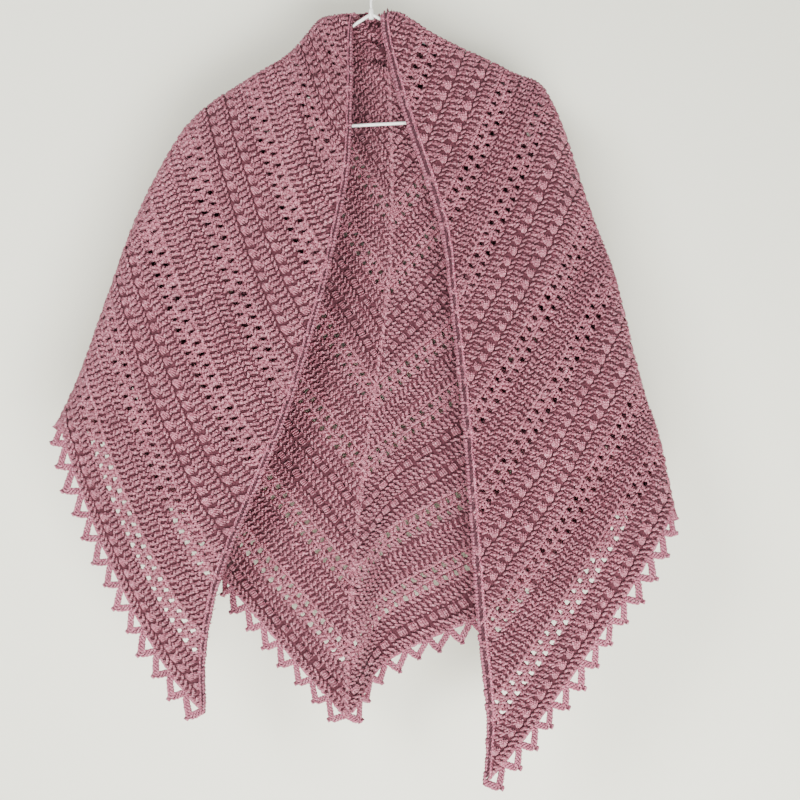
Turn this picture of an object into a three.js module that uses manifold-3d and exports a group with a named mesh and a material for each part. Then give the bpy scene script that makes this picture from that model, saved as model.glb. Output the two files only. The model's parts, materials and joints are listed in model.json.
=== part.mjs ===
// A crocheted triangular shawl, hung open on a wire hanger.
// Millimetres, +Z up, +X to the right, the open front faces -Y.
// The origin is the underside of the top of the hanger's hook, where it hangs.
// Left and right are as seen from the front.

import * as THREE from "three";
import { mergeVertices } from "three/addons/utils/BufferGeometryUtils.js";
import Module from "manifold-3d";

// Cloth
const CLOTH_THICKNESS = 4;
const SEAM_GAP = 0.42;
const ROW_DEPTH = 585; // flat, square to the rows, from the nape to the lower edge
const BAND_WIDTH = 11; // edging along the straight top edge
const BAND_SEAM = 0.35;
const FRONT_COLUMNS = 8;
const BACK_COLUMNS = 17;
const NAPE_ROW = 0.025; // first row of the back, as a share of ROW_DEPTH
const COLLAR_ROW = 0.075; // first row that turns over to the front
const SHOULDER_ROW = 0.3; // each panel is two pieces, above and below this row

// Crochet rows, with heights square to the row
const BORDER_ROW = 7;
const BORDER_CLUSTERS = 16;
const PLAIN_ROW = 11.8;
const CLUSTER_ROW = 16;
const MESH_PAIR = 24.4;
const PLAIN_BAND = 35.2;
const CLUSTER_RAISE = 2.2;

// Open squares of the outermost mesh row
const MESH_PITCH = 13.7;
const MESH_HOLE = 5.6;
const MESH_MARGIN = 9;

// Pointed loops along the lower edges
const LOOP_PITCH = 28;
const LOOP_SEAM = 0.6;
const LOOP_REACH = 18;
const LOOP_SHOULDER = 12;
const LOOP_CORD = 4.5;
const LOOP_STRIP = 4;
const LOOP_FLOOR = 3.4;
const LOOP_THICKNESS = 4;

// Hanger
const WIRE_RADIUS = 1.9;
const HOOK_RADIUS = 20;
const COLLAR_RADIUS = 4;
const COLLAR_HEIGHT = 12;
const APEX_Z = -82;

const COLOURS = {
  cloth: "#b9808f",
  edging: "#c48a9b",
  wire: "#eeeeea",
};

// Lines of each half: the top edge, the line where the cloth turns over at the side, and the spine.
// r is the row, from 0 at the nape to 1 at the lower edge.
const spine = [
  { r: 0, x: 19, y: 11, z: -46 },
  { r: 0.08, x: 20, y: 11, z: -140 },
  { r: 0.3, x: 23, y: 11, z: -324 },
  { r: 0.45, x: 14, y: 8, z: -445 },
  { r: 0.56, x: 1, y: 0, z: -537 },
  { r: 0.66, x: -10, y: -8, z: -619 },
  { r: 0.82, x: -23, y: -21, z: -752 },
  { r: 1, x: -29, y: -35, z: -900 },
];

const halves = {
  left: {
    turn: 1,
    edge: [
      { r: 0, x: 19, y: 9, z: -78 },
      { r: 0.045, x: -19, y: 1, z: -80 },
      { r: 0.075, x: -23, y: -10, z: -111 },
      { r: 0.14, x: -23, y: -15, z: -170 },
      { r: 0.3, x: -28, y: -26, z: -280 },
      { r: 0.4, x: -51, y: -36, z: -397 },
      { r: 0.56, x: -89, y: -48, z: -535 },
      { r: 0.66, x: -118, y: -56, z: -612 },
      { r: 0.82, x: -169, y: -63, z: -738 },
      { r: 0.92, x: -185, y: -64, z: -821 },
      { r: 1, x: -186, y: -62, z: -886 },
    ],
    fold: [
      { r: 0, x: 19, y: 9, z: -78 },
      { r: 0.04, x: -14, y: 3, z: -80 },
      { r: 0.08, x: -40, y: 0, z: -85 },
      { r: 0.14, x: -60, y: 0, z: -90 },
      { r: 0.3, x: -97, y: 0, z: -131 },
      { r: 0.4, x: -144, y: 0, z: -160 },
      { r: 0.56, x: -215, y: -4, z: -216 },
      { r: 0.66, x: -265, y: -12, z: -309 },
      { r: 0.82, x: -305, y: -22, z: -424 },
      { r: 0.92, x: -332, y: -27, z: -505 },
      { r: 1, x: -352, y: -30, z: -550 },
    ],
    // How far a row leaves the top edge sideways and downwards before it climbs
    leave: { across: 1.4, down: 0.5 },
    ridges: [{ x: -83, halfWidth: 26, height: 8, top: -120, bottom: -330 }],
    // Deep soft folds of the back, behind the fronts: place along the row, half width, depth
    flutes: [
      { place: 0.24, half: 0.13, depth: 92 },
      { place: 0.53, half: 0.15, depth: 84 },
    ],
    pleat: { x: 0, y: 0, z: 0 },
  },
  right: {
    turn: -1,
    edge: [
      { r: 0, x: 19, y: 9, z: -78 },
      { r: 0.02, x: 14, y: 0, z: -73 },
      { r: 0.05, x: 12, y: -10, z: -99 },
      { r: 0.14, x: 35, y: -16, z: -196 },
      { r: 0.3, x: 80, y: -28, z: -338 },
      { r: 0.4, x: 92, y: -36, z: -433 },
      { r: 0.56, x: 106, y: -46, z: -578 },
      { r: 0.66, x: 112, y: -54, z: -668 },
      { r: 0.82, x: 122, y: -64, z: -810 },
      { r: 0.92, x: 130, y: -70, z: -897 },
      { r: 1, x: 126, y: -72, z: -964 },
    ],
    fold: [
      { r: 0, x: 19, y: 9, z: -78 },
      { r: 0.04, x: 24, y: 3, z: -80 },
      { r: 0.08, x: 36, y: 0, z: -84 },
      { r: 0.14, x: 73, y: 0, z: -108 },
      { r: 0.3, x: 165, y: 0, z: -153 },
      { r: 0.4, x: 206, y: 0, z: -179 },
      { r: 0.56, x: 257, y: -10, z: -327 },
      { r: 0.66, x: 279, y: -16, z: -388 },
      { r: 0.82, x: 311, y: -24, z: -523 },
      { r: 0.92, x: 329, y: -28, z: -579 },
      { r: 1, x: 344, y: -32, z: -653 },
    ],
    leave: { across: 1.2, down: 0.8 },
    ridges: [{ x: 206, halfWidth: 34, height: 11, top: -170, bottom: -720 }],
    flutes: [
      { place: 0.25, half: 0.15, depth: 84 },
      { place: 0.51, half: 0.15, depth: 74 },
    ],
    // The pleat beside the spine runs back and under the left half
    pleat: { x: -20, y: 40, z: 10 },
  },
};

const FOLD_RADIUS = { nape: 9, hem: 36 };
const PLEAT_START = 0.55;
const PLEAT_CREST = 0.85;
const PLEAT_FADE = { top: 0.5, bottom: 1 };
const FLUTE_GROWTH = 1.4;

// Values between the rows of a table, by cubic pieces
function along(table, r) {
  let k = 0;
  while (k < table.length - 2 && table[k + 1].r < r) k += 1;
  const span = table[k + 1].r - table[k].r;
  const u = (r - table[k].r) / span;
  const slope = (i, axis) => {
    const before = table[Math.max(i - 1, 0)];
    const after = table[Math.min(i + 1, table.length - 1)];
    return (after[axis] - before[axis]) / (after.r - before.r);
  };
  const value = (axis) =>
    cubic(table[k][axis], slope(k, axis) * span, table[k + 1][axis], slope(k + 1, axis) * span, u);
  return new THREE.Vector3(value("x"), value("y"), value("z"));
}

// A cubic from a to b, with slopes there
function cubic(a, slopeA, b, slopeB, u) {
  const v = 1 - u;
  return a * v * v * (1 + 2 * u) + slopeA * u * v * v + b * u * u * (3 - 2 * u) - slopeB * u * u * v;
}

function cubicPoint(a, slopeA, b, slopeB, u) {
  return new THREE.Vector3(
    cubic(a.x, slopeA.x, b.x, slopeB.x, u),
    cubic(a.y, slopeA.y, b.y, slopeB.y, u),
    cubic(a.z, slopeA.z, b.z, slopeB.z, u),
  );
}

function smooth(from, to, value) {
  return THREE.MathUtils.smoothstep(value, from, to);
}

// 1 in the middle of a bump, 0 at its sides
function bump(offset, half) {
  return Math.abs(offset) < half ? Math.cos((Math.PI * offset) / (2 * half)) ** 2 : 0;
}

// The slope with which a row goes over the side fold, for a fold of the wanted radius
function turnSlope(a, b, r) {
  const radius = THREE.MathUtils.lerp(FOLD_RADIUS.nape, FOLD_RADIUS.hem, r);
  return new THREE.Vector3(0, Math.sqrt(4 * a.distanceTo(b) * radius), 0);
}

// One row of the front, from the top edge to the side fold
function frontRow(half, r, u) {
  const edge = along(half.edge, r);
  const fold = along(half.fold, r);
  const leaving = new THREE.Vector3(
    (fold.x - edge.x) * half.leave.across,
    fold.y - edge.y,
    (fold.z - edge.z) * half.leave.down,
  );
  const p = cubicPoint(edge, leaving, fold, turnSlope(edge, fold, r), u);
  for (const ridge of half.ridges) {
    const soft = (ridge.top - ridge.bottom) / 4;
    const fade = smooth(ridge.bottom, ridge.bottom + soft, p.z) * smooth(-ridge.top, soft - ridge.top, -p.z);
    p.y -= ridge.height * bump(p.x - ridge.x, ridge.halfWidth) * fade;
  }
  return p;
}

// One row of the back, from the side fold to the spine
function backRow(half, r, u) {
  const fold = along(half.fold, r);
  const end = along(spine, r);
  const arriving = new THREE.Vector3(end.x - fold.x, 0, end.z - fold.z);
  const p = cubicPoint(fold, turnSlope(fold, end, r), end, arriving, u);
  for (const flute of half.flutes) {
    p.y += flute.depth * r ** FLUTE_GROWTH * bump(u - flute.place, flute.half);
  }
  const crest = u < PLEAT_CREST ? smooth(PLEAT_START, PLEAT_CREST, u) : 1 - smooth(PLEAT_CREST, 1, u);
  const grown = crest * smooth(PLEAT_FADE.top, PLEAT_FADE.bottom, r);
  return p.add(new THREE.Vector3(half.pleat.x, half.pleat.y, half.pleat.z).multiplyScalar(grown));
}

// Points of a row at even distances along the cloth
const SAMPLES = 240;
const measured = new Map();
function measuredRow(name, row, r) {
  const key = [name, row.name, r.toFixed(6)].join(" ");
  if (!measured.has(key)) {
    const lengths = [0];
    let last = row(halves[name], r, 0);
    for (let i = 1; i <= SAMPLES; i += 1) {
      const next = row(halves[name], r, i / SAMPLES);
      lengths.push(lengths[i - 1] + next.distanceTo(last));
      last = next;
    }
    measured.set(key, lengths);
  }
  return measured.get(key);
}

function rowLength(panel, r) {
  return measuredRow(panel.half, panel.row, r).at(-1);
}

function onRow(panel, r, distance) {
  const lengths = measuredRow(panel.half, panel.row, r);
  let i = 0;
  while (i < SAMPLES - 1 && lengths[i + 1] < distance) i += 1;
  const part = (distance - lengths[i]) / (lengths[i + 1] - lengths[i]);
  return panel.row(halves[panel.half], r, (i + part) / SAMPLES);
}

// The middle surface of a panel: r down the cloth, f from 0 to 1 along the row between its two ends
function ends(panel, r) {
  const length = rowLength(panel, r);
  return { from: panel.start, to: length - SEAM_GAP / 2 };
}

function onPanel(panel, r, f) {
  const { from, to } = ends(panel, r);
  return onRow(panel, r, from + (to - from) * f);
}

const STEP = 0.004; // share of a row or a column that tells the slope
function frameOn(panel, r, f) {
  const at = onPanel(panel, r, f);
  const lowF = Math.max(f - STEP, 0);
  const highF = Math.min(f + STEP, 1);
  const lowR = Math.max(r - STEP, panel.first);
  const highR = Math.min(r + STEP, 1);
  const along1 = onPanel(panel, r, highF).sub(onPanel(panel, r, lowF)).normalize();
  const down = onPanel(panel, highR, f).sub(onPanel(panel, lowR, f));
  const normal = new THREE.Vector3().crossVectors(along1, down).normalize();
  normal.multiplyScalar(halves[panel.half].turn);
  const outward = down.addScaledVector(along1, -down.dot(along1)).normalize();
  return { at, along: along1, outward, normal };
}

const frontOf = (half) => ({
  half,
  row: frontRow,
  first: COLLAR_ROW,
  start: BAND_WIDTH + BAND_SEAM,
  columns: FRONT_COLUMNS,
});
const backOf = (half) => ({ half, row: backRow, first: NAPE_ROW, start: SEAM_GAP / 2, columns: BACK_COLUMNS });
const panels = {
  left_front: frontOf("left"),
  left_back: backOf("left"),
  right_front: frontOf("right"),
  right_back: backOf("right"),
};

// Sections of a panel between two rows, from the lower edge: row and how far the clusters stand out
function sections(first, last) {
  const rows = [
    { distance: 0, raise: 0 },
    { distance: BORDER_ROW, raise: 0 },
    { distance: BORDER_ROW + BORDER_CLUSTERS / 2, raise: CLUSTER_RAISE },
    { distance: BORDER_ROW + BORDER_CLUSTERS, raise: 0 },
  ];
  let from = BORDER_ROW + BORDER_CLUSTERS + PLAIN_ROW;
  while (from < ROW_DEPTH) {
    const second = from + MESH_PAIR + PLAIN_BAND;
    const clusters = second + MESH_PAIR + PLAIN_ROW + CLUSTER_ROW / 2;
    rows.push({ distance: from, raise: 0 });
    rows.push({ distance: from + MESH_PAIR + PLAIN_BAND / 2, raise: 0 });
    rows.push({ distance: second + MESH_PAIR, raise: 0 });
    rows.push({ distance: clusters, raise: CLUSTER_RAISE });
    rows.push({ distance: clusters + (CLUSTER_ROW + PLAIN_ROW) / 2, raise: 0 });
    rows.push({ distance: clusters + CLUSTER_ROW + PLAIN_ROW, raise: CLUSTER_RAISE });
    from = second + MESH_PAIR + 3 * PLAIN_ROW + 2 * CLUSTER_ROW;
  }
  const kept = rows.map((row) => ({ r: 1 - row.distance / ROW_DEPTH, raise: row.raise }));
  const inner = [COLLAR_ROW, SHOULDER_ROW].filter((r) => r > first + STEP && r < last - STEP);
  const fixed = [first, ...inner, last].map((r) => ({ r, raise: 0 }));
  const clear = (row) => fixed.every((other) => Math.abs(row.r - other.r) > STEP);
  const between = kept.filter((row) => row.r > first && row.r < last && clear(row));
  return [...between, ...fixed].sort((a, b) => b.r - a.r);
}

// Turns the faces outwards where the volume says that they point in
function closed(positions, faces) {
  let volume = 0;
  const at = (i) => new THREE.Vector3().fromArray(positions, 3 * i);
  for (let i = 0; i < faces.length; i += 3) {
    volume += at(faces[i]).dot(at(faces[i + 1]).cross(at(faces[i + 2])));
  }
  if (volume < 0) {
    for (let i = 0; i < faces.length; i += 3) {
      [faces[i + 1], faces[i + 2]] = [faces[i + 2], faces[i + 1]];
    }
  }
  const geometry = new THREE.BufferGeometry();
  geometry.setAttribute("position", new THREE.Float32BufferAttribute(positions, 3));
  geometry.setIndex(faces);
  return geometry;
}

// A wall between an outer and an inner grid of points, closed round its rim
function wall(outer, inner) {
  const rows = outer.length;
  const columns = outer[0].length;
  const positions = [...outer.flat(), ...inner.flat()].flatMap((p) => [p.x, p.y, p.z]);
  const inside = rows * columns;
  const faces = [];
  for (let i = 0; i < rows - 1; i += 1) {
    for (let j = 0; j < columns - 1; j += 1) {
      const a = i * columns + j;
      const b = a + columns;
      faces.push(a, a + 1, b + 1, a, b + 1, b);
      faces.push(inside + a, inside + b + 1, inside + a + 1, inside + a, inside + b, inside + b + 1);
    }
  }
  const rim = [];
  for (let j = 0; j < columns - 1; j += 1) rim.push(j);
  for (let i = 0; i < rows - 1; i += 1) rim.push(i * columns + columns - 1);
  for (let j = columns - 1; j > 0; j -= 1) rim.push((rows - 1) * columns + j);
  for (let i = rows - 1; i > 0; i -= 1) rim.push(i * columns);
  // Facing rims are cut along the same diagonals, so that they keep their gap where the cloth twists
  rim.forEach((a, k) => {
    const b = rim[(k + 1) % rim.length];
    if (a < b) faces.push(a, inside + a, inside + b, a, inside + b, b);
    else faces.push(a, inside + a, b, inside + a, inside + b, b);
  });
  return closed(positions, faces);
}

// The frames across a panel on one row; both halves lean the same way at the spine
function framesAcross(panel, r) {
  const { columns } = panel;
  const frames = Array.from({ length: columns + 1 }, (_, j) => frameOn(panel, r, j / columns));
  if (panel.row === frontRow) frames[0].normal.copy(framesOfBand(panel, r).at(-1).normal);
  else {
    const lean = frameOn(panels.left_back, r, 1).normal.add(frameOn(panels.right_back, r, 1).normal);
    frames[columns].normal.copy(lean.normalize());
  }
  return frames;
}

// Cloth of one panel between two rows, with its cluster rows raised on the outside
function clothWall(panel, first, last) {
  const outer = [];
  const inner = [];
  for (const { r, raise } of sections(first, last)) {
    const frames = framesAcross(panel, r);
    const half = CLOTH_THICKNESS / 2;
    outer.push(frames.map((f) => f.at.clone().addScaledVector(f.normal, half + raise)));
    inner.push(frames.map((f) => f.at.clone().addScaledVector(f.normal, -half)));
  }
  return wall(outer, inner);
}

// The frames across the edging on one row
function framesOfBand(panel, r) {
  const band = { ...panel, start: 0 };
  const reach = BAND_WIDTH / ends(band, r).to;
  return [0, reach / 2, reach].map((f) => frameOn(band, r, f));
}

// Edging along the top edge, on the same rows as the front
function edgeBand(panel) {
  const outer = [];
  const inner = [];
  for (const { r } of sections(panel.first, 1)) {
    const frames = framesOfBand(panel, r);
    const half = CLOTH_THICKNESS / 2;
    const crown = [half, half + 1, half];
    outer.push(frames.map((f, j) => f.at.clone().addScaledVector(f.normal, crown[j])));
    inner.push(frames.map((f) => f.at.clone().addScaledVector(f.normal, -half)));
  }
  return wall(outer, inner);
}

// Distances along a chain of frames
function chainLengths(frames) {
  const lengths = [0];
  for (let i = 1; i < frames.length; i += 1) {
    lengths.push(lengths[i - 1] + frames[i].at.distanceTo(frames[i - 1].at));
  }
  return lengths;
}

// A frame at a distance along a chain of frames
function betweenFrames(frames, lengths, distance) {
  let i = 0;
  while (i < frames.length - 2 && lengths[i + 1] < distance) i += 1;
  const part = (distance - lengths[i]) / (lengths[i + 1] - lengths[i]);
  const mix = (name) => frames[i][name].clone().lerp(frames[i + 1][name], part);
  return { at: mix("at"), outward: mix("outward"), normal: mix("normal") };
}

// Pointed loops on a narrow strip, one cell of the border for each loop.
// The strip bends where the rim of the cloth bends.
function loopBorder(panel) {
  const onBand = panel.row === frontRow ? framesOfBand(panel, 1) : [];
  const rim = [...onBand, ...framesAcross(panel, 1)];
  const lengths = chainLengths(rim);
  const count = Math.round(lengths.at(-1) / LOOP_PITCH);
  const pitch = lengths.at(-1) / count;
  const narrow = LOOP_CORD / pitch;
  const arch = [
    { u: 1, v: LOOP_STRIP },
    { u: 0.76, v: LOOP_SHOULDER },
    { u: 0.5, v: LOOP_REACH },
    { u: 0.24, v: LOOP_SHOULDER },
    { u: 0, v: LOOP_STRIP },
  ];
  const gap = [
    { u: narrow, v: LOOP_FLOOR },
    { u: 1 - narrow, v: LOOP_FLOOR },
    { u: 0.76 - narrow, v: LOOP_SHOULDER - LOOP_CORD / 4 },
    { u: 0.24 + narrow, v: LOOP_SHOULDER - LOOP_CORD / 4 },
  ];
  const flat = (list) => list.map((p) => new THREE.Vector2(p.u * pitch, p.v));
  const positions = [];
  const faces = [];
  for (let cell = 0; cell < count; cell += 1) {
    const bends = lengths.map((length) => length / pitch - cell).filter((u) => u > STEP && u < 1 - STEP);
    const foot = [0, ...bends, 1].map((u) => ({ u, v: 0 }));
    const outline = [...foot, ...arch];
    const shape = [...outline, ...gap];
    const corners = flat(shape);
    const tiles = THREE.ShapeUtils.triangulateShape(flat(outline), [flat(gap)]).map(([a, b, c]) =>
      THREE.ShapeUtils.area([corners[a], corners[b], corners[c]]) > 0 ? [a, b, c] : [a, c, b],
    );
    const near = positions.length / 3;
    const far = near + shape.length;
    for (const side of [1, -1]) {
      for (const p of shape) {
        const f = betweenFrames(rim, lengths, (cell + p.u) * pitch);
        f.at.addScaledVector(f.outward, LOOP_SEAM + p.v);
        f.at.addScaledVector(f.normal, (side * LOOP_THICKNESS) / 2);
        positions.push(f.at.x, f.at.y, f.at.z);
      }
    }
    for (const [a, b, c] of tiles) {
      faces.push(near + a, near + b, near + c, far + a, far + c, far + b);
    }
    const side = (a, b) => faces.push(near + a, far + a, far + b, near + a, far + b, near + b);
    for (let k = 0; k < foot.length - 1; k += 1) side(k, k + 1);
    for (let k = foot.length; k < outline.length - 1; k += 1) side(k, k + 1);
    if (cell === 0) side(outline.length - 1, 0);
    if (cell === count - 1) side(foot.length - 1, foot.length);
    gap.forEach((_, k) => side(outline.length + ((k + 1) % gap.length), outline.length + k));
  }
  const merged = mergeVertices(closed(positions, faces), 1e-3);
  return closed([...merged.attributes.position.array], [...merged.index.array]);
}

// A round wire along a curve
function wire(points, steps, sides) {
  const curve = new THREE.CatmullRomCurve3(points.map(([x, z]) => new THREE.Vector3(x, 0, z)), false, "centripetal");
  const ring = Array.from({ length: sides }, (_, i) => {
    const angle = (2 * Math.PI * (i + 0.5)) / sides;
    return new THREE.Vector2(WIRE_RADIUS * Math.cos(angle), WIRE_RADIUS * Math.sin(angle));
  });
  return new THREE.ExtrudeGeometry(new THREE.Shape(ring), { steps, extrudePath: curve, bevelEnabled: false });
}

const wasm = await Module();
wasm.setup();

function toSolid(geometry) {
  const plain = geometry.clone();
  plain.deleteAttribute("normal");
  plain.deleteAttribute("uv");
  const merged = mergeVertices(plain, 1e-3);
  return new wasm.Manifold(
    new wasm.Mesh({
      numProp: 3,
      vertProperties: new Float32Array(merged.attributes.position.array),
      triVerts: new Uint32Array(merged.index.array),
    }),
  );
}

function toGeometry(solid) {
  const mesh = solid.getMesh();
  const geometry = new THREE.BufferGeometry();
  geometry.setAttribute("position", new THREE.BufferAttribute(mesh.vertProperties, 3));
  geometry.setIndex(new THREE.BufferAttribute(mesh.triVerts, 1));
  return geometry;
}

// Cuts the open squares of the outermost mesh row through a panel
function cutMesh(geometry, panel) {
  const distance = BORDER_ROW + BORDER_CLUSTERS + PLAIN_ROW + MESH_PAIR / 4;
  const r = 1 - distance / ROW_DEPTH;
  const { from, to } = ends(panel, r);
  const count = Math.floor((to - from - 2 * MESH_MARGIN) / MESH_PITCH);
  let solid = toSolid(geometry);
  const cuts = [];
  for (let i = 0; i <= count; i += 1) {
    const f = frameOn(panel, r, (MESH_MARGIN + i * MESH_PITCH) / (to - from));
    const box = new THREE.BoxGeometry(MESH_HOLE, MESH_HOLE, 3 * CLOTH_THICKNESS);
    const across = new THREE.Vector3().crossVectors(f.normal, f.along);
    box.applyMatrix4(new THREE.Matrix4().makeBasis(f.along, across, f.normal).setPosition(f.at));
    cuts.push(toSolid(box));
  }
  for (const cut of cuts) solid = solid.subtract(cut);
  return toGeometry(solid);
}

const part = new THREE.Group();
function add(name, geometry, colour, roughness, metalness) {
  const material = new THREE.MeshStandardMaterial({ color: colour, roughness, metalness });
  const mesh = new THREE.Mesh(geometry, material);
  mesh.name = name;
  part.add(mesh);
}

// Cloth panels and their borders
const halfGap = SEAM_GAP / 2 / ROW_DEPTH;
for (const [name, panel] of Object.entries(panels)) {
  const upper = clothWall(panel, panel.first, SHOULDER_ROW - halfGap);
  const lower = clothWall(panel, SHOULDER_ROW + halfGap, 1);
  add("body_" + name + "_upper", upper, COLOURS.cloth, 0.95, 0);
  add("body_" + name + "_lower", cutMesh(lower, panel), COLOURS.cloth, 0.95, 0);
  add("loop_border_" + name, loopBorder(panel), COLOURS.edging, 0.95, 0);
}
add("top_edge_band_left", edgeBand(panels.left_front), COLOURS.edging, 0.95, 0);
add("top_edge_band_right", edgeBand(panels.right_front), COLOURS.edging, 0.95, 0);

// Hanger frame: one bent wire with a bottom bar, joined in a collar under the hook
const frameWire = wire(
  [
    [-1.5, APEX_Z],
    [-50, -113],
    [-100, -144],
    [-150, -175],
    [-190, -201],
    [-202.3, -211],
    [-203.3, -218],
    [-196, -221],
    [-100, -217],
    [4, -212],
    [100, -207],
    [192, -202],
    [200, -198],
    [199, -191],
    [186, -182],
    [140, -157],
    [95, -133],
    [48, -108],
    [-0.5, APEX_Z],
  ],
  56,
  6,
);
const collar = new THREE.CylinderGeometry(COLLAR_RADIUS, COLLAR_RADIUS, COLLAR_HEIGHT, 8);
collar.rotateX(Math.PI / 2);
collar.translate(-1, 0, APEX_Z);
add("hanger_frame", toGeometry(toSolid(frameWire).add(toSolid(collar))), COLOURS.wire, 0.35, 0.1);

// Hanger hook: a straight stem that bends out and over; its hanging point is the origin
const centre = -HOOK_RADIUS;
const ring = HOOK_RADIUS + WIRE_RADIUS;
const arc = [-30, 0, 30, 60, 90, 120, 150, 180, 205].map((degrees) => {
  const angle = THREE.MathUtils.degToRad(degrees);
  return [ring * Math.cos(angle), centre + ring * Math.sin(angle)];
});
const stemFoot = APEX_Z + COLLAR_HEIGHT / 2 + SEAM_GAP;
add("hanger_hook", wire([[-1, stemFoot], [-1, stemFoot + 10], [7, -45], ...arc], 34, 8), COLOURS.wire, 0.35, 0.1);

export default part;
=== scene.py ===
import json
import math

import bmesh
import bpy
import numpy as np
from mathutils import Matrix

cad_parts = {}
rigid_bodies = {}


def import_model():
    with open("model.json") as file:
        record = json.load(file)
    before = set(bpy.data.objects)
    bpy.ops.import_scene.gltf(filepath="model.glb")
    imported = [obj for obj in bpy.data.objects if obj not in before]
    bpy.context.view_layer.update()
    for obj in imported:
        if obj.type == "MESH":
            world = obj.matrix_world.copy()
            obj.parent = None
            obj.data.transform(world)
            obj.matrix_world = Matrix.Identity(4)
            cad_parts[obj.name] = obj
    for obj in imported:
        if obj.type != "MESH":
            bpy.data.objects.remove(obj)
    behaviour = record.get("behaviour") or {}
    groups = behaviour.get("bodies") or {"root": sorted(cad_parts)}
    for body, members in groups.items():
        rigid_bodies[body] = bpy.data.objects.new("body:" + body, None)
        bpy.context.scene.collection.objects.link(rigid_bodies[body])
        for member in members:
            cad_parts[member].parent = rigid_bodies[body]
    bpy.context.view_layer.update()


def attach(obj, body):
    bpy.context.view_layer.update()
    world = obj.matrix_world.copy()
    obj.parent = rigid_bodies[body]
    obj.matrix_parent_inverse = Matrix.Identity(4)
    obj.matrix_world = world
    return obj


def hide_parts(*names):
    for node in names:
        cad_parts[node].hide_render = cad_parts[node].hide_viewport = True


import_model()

# The room: the hanger hangs from a hook on a pale wall, so the shawl's back folds all but touch it. The
# wall shows only from the front. The camera looks level at the middle of the shawl, as in the photo.
WALL_PLACE = 110
FLOOR_PLACE = -1900


def linear(red, green, blue):
    """A colour picked from 0 to 255, as the renderer counts it."""
    share = [v / 255 for v in (red, green, blue)]
    return tuple(v / 12.92 if v < 0.04045 else ((v + 0.055) / 1.055) ** 2.4 for v in share)


def material(name, colour, roughness):
    made = bpy.data.materials.new(name)
    made.use_nodes = True
    shader = made.node_tree.nodes["Principled BSDF"]
    shader.inputs["Base Color"].default_value = (*colour, 1)
    shader.inputs["Roughness"].default_value = roughness
    return made


def add_node(tree, kind, inputs=None, **settings):
    """A new node of a tree, with values for some of its sockets and settings."""
    made = tree.nodes.new(kind)
    for name, value in settings.items():
        setattr(made, name, value)
    for name, value in (inputs or {}).items():
        made.inputs[name].default_value = value
    return made


def mesh_object(name, vertices, faces):
    """A mesh in the part's frame, from points in millimetres."""
    mesh = bpy.data.meshes.new(name)
    mesh.from_pydata((np.asarray(vertices, float) * 0.001).tolist(), [], [list(f) for f in faces])
    made = bpy.data.objects.new(name, mesh)
    bpy.context.scene.collection.objects.link(made)
    return made


room_paint = material("Room paint", linear(232, 232, 220), 0.9)
floor_corners = [(x, y, FLOOR_PLACE) for x, y in ((-4000, -5000), (4000, -5000), (4000, 5000), (-4000, 5000))]
wall_corners = [
    (x, WALL_PLACE, z) for x, z in ((-2500, FLOOR_PLACE), (2500, FLOOR_PLACE), (2500, 1500), (-2500, 1500))
]
floor = mesh_object("floor", floor_corners, [(0, 1, 2, 3)])
wall = mesh_object("wall", wall_corners, [(0, 1, 2, 3)])
wall_paint = material("Wall paint, clear from behind", linear(235, 235, 220), 0.9)
paint_tree = wall_paint.node_tree
behind = add_node(paint_tree, "ShaderNodeNewGeometry")
clear = add_node(paint_tree, "ShaderNodeBsdfTransparent")
either = add_node(paint_tree, "ShaderNodeMixShader")
paint_tree.links.new(behind.outputs["Backfacing"], either.inputs[0])
paint_tree.links.new(paint_tree.nodes["Principled BSDF"].outputs[0], either.inputs[1])
paint_tree.links.new(clear.outputs[0], either.inputs[2])
paint_tree.links.new(either.outputs[0], paint_tree.nodes["Material Output"].inputs["Surface"])
floor.data.materials.append(room_paint)
wall.data.materials.append(wall_paint)

world = bpy.data.worlds.new("Room light")
world.use_nodes = True
world.node_tree.nodes["Background"].inputs["Color"].default_value = (*linear(250, 249, 246), 1)
world.node_tree.nodes["Background"].inputs["Strength"].default_value = 0.43
bpy.context.scene.world = world


def soft_light(name, place, aim, size, power):
    """A square lamp that looks from a place at an aim."""
    lamp = bpy.data.lights.new(name, "AREA")
    lamp.shape = "SQUARE"
    lamp.size = size
    lamp.energy = power
    made = bpy.data.objects.new(name, lamp)
    away = np.array(place) - np.array(aim)
    made.location = place
    made.rotation_euler = (math.atan2(math.hypot(away[0], away[1]), away[2]), 0, math.atan2(away[0], -away[1]))
    bpy.context.scene.collection.objects.link(made)


soft_light("Window", (-1.3, -1.9, 0.2), (0, 0, -1.0), 0.9, 60)
soft_light("Fill", (0.4, -1.8, -1.6), (0, 0, -0.8), 1.3, 132)

camera = bpy.data.objects.new("Camera", bpy.data.cameras.new("Camera"))
camera.location = (0.033, -1.3, -0.537)
camera.rotation_euler = (math.pi / 2, 0, 0)
camera.data.angle = 2 * math.atan(0.472 / 1.3)
bpy.context.scene.collection.objects.link(camera)
bpy.context.scene.camera = camera

# The hanger: 3.8 mm steel wire in a white plastic coat, bent to a triangle with its ends wound
# together under the hook. The cloth hangs over its two shoulders.
WIRE_RADIUS = 1.9


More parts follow.
